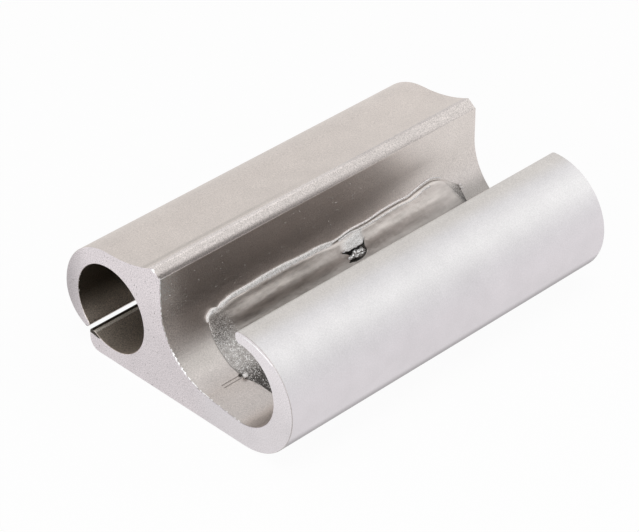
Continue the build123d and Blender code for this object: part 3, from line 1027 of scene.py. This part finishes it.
def crumb_tree():
    """Geometry Nodes: a surface in, small chips scattered on it out."""
    tree, given = new_tree("scattered crumbs", {
        "Surface": "Geometry", "Crumbs per Square Metre": "Float", "Crumb Size": "Float", "Seed": "Int",
        "Finish": "Material"}, "Crumbs")
    seed = given["Seed"]
    grit = add(tree, "GeometryNodeInputNamedAttribute", {"Name": "grit"}, data_type="FLOAT").outputs[0]
    most = given["Crumbs per Square Metre"]
    density = add(tree, "ShaderNodeMath", {0: grit, 1: most}, operation="MULTIPLY").outputs[0]
    spots = add(tree, "GeometryNodeDistributePointsOnFaces",
                {"Mesh": given["Surface"], "Density": density, "Seed": seed}).outputs["Points"]
    chip = add(tree, "GeometryNodeMeshIcoSphere",
               {"Radius": given["Crumb Size"], "Subdivisions": 1}).outputs[0]
    size, turn = [
        add(tree, "FunctionNodeRandomValue",
            {0: least, 1: most, "Seed": seed}, data_type="FLOAT_VECTOR").outputs[0]
        for least, most in (((0.35, 0.35, 0.25), (1.3, 1.3, 0.8)), ((0, 0, 0), (math.tau,) * 3))]
    chips = add(tree, "GeometryNodeInstanceOnPoints",
                {"Points": spots, "Instance": chip, "Rotation": turn, "Scale": size}).outputs[0]
    chips = add(tree, "GeometryNodeRealizeInstances", {"Geometry": chips}).outputs[0]
    chips = add(tree, "GeometryNodeSetMaterial", {"Geometry": chips, "Material": given["Finish"]}).outputs[0]
    add(tree, "NodeGroupOutput", {"Crumbs": chips})
    return tree


def wall_patch(name, y, s, h):
    """A patch of the drawing board on the groove's wall, from a grid of places."""
    corner = np.arange(y.size).reshape(y.shape)
    faces = np.stack([corner[:-1, :-1], corner[:-1, 1:], corner[1:, 1:], corner[1:, :-1]], 2).reshape(-1, 4)
    mesh = bpy.data.meshes.new(name)
    mesh.from_pydata((on_wall(y.ravel(), s.ravel(), h) * mm).tolist(), [], faces.tolist())
    return mesh


def bright_crumbs():
    """Aluminium filings: small, bright and sharp."""
    material, tree, place = new_material("aluminium filings, bright")
    tone = add(tree, "ShaderNodeTexNoise", {"Vector": place, "Scale": 1.4}).outputs[0]
    colour = two_tone(tree, tone, 0.4, "#CFCBC8", 0.6, "#FFFEFD")
    surface(tree, {"Base Color": colour, "Metallic": 0.25, "Roughness": 0.22})
    return material


crumbs = crumb_tree()
filings = bright_crumbs()
print("tree:", crumbs.name, "with", len(crumbs.nodes), "nodes")

# %% [markdown]
# The grit is thickest on the film's near end, in the same streak down the wall that glints.
# The dust is so thin that every speck of it can be counted.

# %% Grit on the film and dust on the wall
y, s = np.meshgrid(np.arange(-39.0, grit_end_y, 0.4), np.arange(3.0, 24.0, 0.4))
near_end = np.clip((grit_end_y - y) / 2.5, 0, 1)
streak = np.interp(s, (3, 7, 9, 13, 16, 19, 24), (0.05, 0.25, 1.5, 1.5, 0.6, 0.15, 0.03))
on_film, _ = film_height(y.ravel(), s.ravel())
gritted = measured(wall_patch("film_grit", y, s, on_film), "grit", near_end * streak)
grit = grown("film_grit", gritted, crumbs, {
    "Crumbs per Square Metre": 1.8e7, "Crumb Size": 0.14 * mm, "Seed": 11, "Finish": filings})
y, s = np.meshgrid(np.arange(-49.0, 46.0, 1.0), np.arange(-13.0, -2.0, 1.0))
dusted = measured(wall_patch("wall_dust", y, s, 0.0), "grit", np.ones(y.shape))
dust = grown("wall_dust", dusted, crumbs, {
    "Crumbs per Square Metre": 1.6e5, "Crumb Size": 0.11 * mm, "Seed": 8, "Finish": filings})

# %% [markdown]
# A cold saw leaves a fine bright burr where its teeth leave the metal, and it catches the
# light more than any face. A burr is a ragged line that follows an edge. The tree sweeps a
# round section along a path, swells it where the path's own `swell` says so, and roughens
# it with noise.

# %% A tree for ragged lines along a path


def ragged_line_tree():
    """Geometry Nodes: a path of edges in, a ragged round line out."""
    tree, given = new_tree("ragged line", {
        "Path": "Geometry", "Radius": "Float", "Ragged Depth": "Float", "Ragged Scale": "Float",
        "Seed": "Float", "Finish": "Material"}, "Line")
    path = add(tree, "GeometryNodeMeshToCurve", {"Mesh": given["Path"]}).outputs[0]
    swell = add(tree, "GeometryNodeInputNamedAttribute", {"Name": "swell"}, data_type="FLOAT").outputs[0]
    ring = {"Resolution": 14, "Radius": given["Radius"]}
    section = add(tree, "GeometryNodeCurvePrimitiveCircle", ring).outputs[0]
    line = add(tree, "GeometryNodeCurveToMesh",
               {"Curve": path, "Profile Curve": section, "Scale": swell, "Fill Caps": True}).outputs[0]
    place = add(tree, "GeometryNodeInputPosition").outputs[0]
    pattern = {"Vector": place, "W": given["Seed"], "Scale": given["Ragged Scale"], "Detail": 3.0}
    rough = add(tree, "ShaderNodeTexNoise", pattern, noise_dimensions="4D").outputs[0]
    centred = add(tree, "ShaderNodeMath", {0: rough, 1: 0.5}, operation="SUBTRACT").outputs[0]
    push = add(tree, "ShaderNodeMath", {0: centred, 1: given["Ragged Depth"]},
               operation="MULTIPLY").outputs[0]
    outward = add(tree, "GeometryNodeInputNormal").outputs[0]
    offset = add(tree, "ShaderNodeVectorMath", {0: outward, "Scale": push}, operation="SCALE").outputs[0]
    line = add(tree, "GeometryNodeSetPosition", {"Geometry": line, "Offset": offset}).outputs[0]
    line = add(tree, "GeometryNodeSetShadeSmooth", {"Geometry": line}).outputs[0]
    line = add(tree, "GeometryNodeRealizeInstances", {"Geometry": line}).outputs[0]
    line = add(tree, "GeometryNodeSetMaterial", {"Geometry": line, "Material": given["Finish"]}).outputs[0]
    add(tree, "NodeGroupOutput", {"Line": line})
    return tree


def burr_metal():
    """Aluminium, torn by the saw: bright, as its many small facets catch light from every side."""
    material, tree, place = new_material("aluminium, torn by the saw")
    facets = add(tree, "ShaderNodeTexNoise", {"Vector": place, "Scale": 1.6, "Detail": 3.0}).outputs[0]
    colour = two_tone(tree, facets, 0.0, "#DEDAD9", 1.0, "#FFFFFF")
    surface(tree, {"Base Color": colour, "Metallic": 0.9, "Roughness": 0.35})
    return material


ragged_line = ragged_line_tree()
bright_burr = burr_metal()
print("tree:", ragged_line.name, "with", len(ragged_line.nodes), "nodes")

# %% [markdown]
# The saw left its burr in four places on the near end: down the groove's rim, on the bore's
# rim above the slit, along the folding lip's outer edge, and over the ridge's corner. Each
# is a line of points at the sawn face, with its own swelling.

# %% Saw burrs
near_face_y = -half_length


def end_arc(centre, radius, turn, y):
    """Points on a circle in the near end of the part."""
    x, z = centre[0] + radius * np.cos(turn), centre[2] + radius * np.sin(turn)
    return np.stack([x, np.full(len(turn), y), z], 1)


rim_s = np.arange(-15.0, 33.0, 0.25)
groove_rim = on_wall(near_face_y + 0.2, rim_s, -0.08)
groove_swell = 0.45 + 1.5 * abs(fractal(4, rim_s * 0.8, 1.0, 2.0))
groove_swell = groove_swell * np.interp(
    rim_s, (-15, -8, 0, 8, 13, 18, 33), (1.1, 0.8, 0.9, 1.3, 1.3, 0.7, 0.4))

slit_turn = np.radians(np.arange(152, 205, 1.0))
slit_rim = end_arc(bore_centre, bore_radius + 0.12, slit_turn, near_face_y + 0.28)
slit_swell = 0.4 + 1.3 * abs(fractal(3, slit_turn * 9, 5.0, 2.0))

lip_degrees = np.arange(90, 50, -1.0)
lip_radius = np.interp(lip_degrees, (50, 54, 62, 70, 79, 90), (14.6, 14.5, 14.3, 14.2, 14.2, 14.3))
lip_edge = end_arc(outer_centre, lip_radius, np.radians(lip_degrees), near_face_y - 0.01)
lip_swell = np.interp(lip_degrees, (50, 55, 70, 88, 92), (0.2, 0.8, 1.0, 1.0, 0.4))

corner_y = near_face_y + 0.2
ridge_corner = np.array([(x, corner_y, z) for x, z in (
    (-7.1, 32.3), (-6.7, 32.1), (-6.2, 31.7), (-5.5, 31.1), (-4.8, 30.5))])
corner_swell = (1.2, 2.2, 1.5, 0.6, 0.7)

burrs = (
    # name, line, swelling, radius and ragged depth in mm, ragged features per metre, seed
    ("groove_rim_burr", groove_rim, groove_swell, 0.16, 0.22, 1400.0, 2.0),
    ("slit_rim_burr", slit_rim, slit_swell, 0.16, 0.3, 2200.0, 7.0),
    ("lip_edge_burr", lip_edge, lip_swell, 0.15, 0.05, 900.0, 3.0),
    ("ridge_corner_burr", ridge_corner, corner_swell, 0.17, 0.2, 1800.0, 5.0),
)
for name, line, swell, radius, depth, scale, seed in burrs:
    path = bpy.data.meshes.new(name)
    path.from_pydata((line * mm).tolist(), [(i, i + 1) for i in range(len(line) - 1)], [])
    burr = grown(name, measured(path, "swell", swell), ragged_line, {
        "Radius": radius * mm, "Ragged Depth": depth * mm, "Ragged Scale": scale, "Seed": seed,
        "Finish": bright_burr})

# %% [markdown]
# The colours above were picked on a plain screen, so the view is the plain one too.

# %% Finish
bpy.context.scene.view_settings.view_transform = "Standard"
bpy.context.view_layer.update()
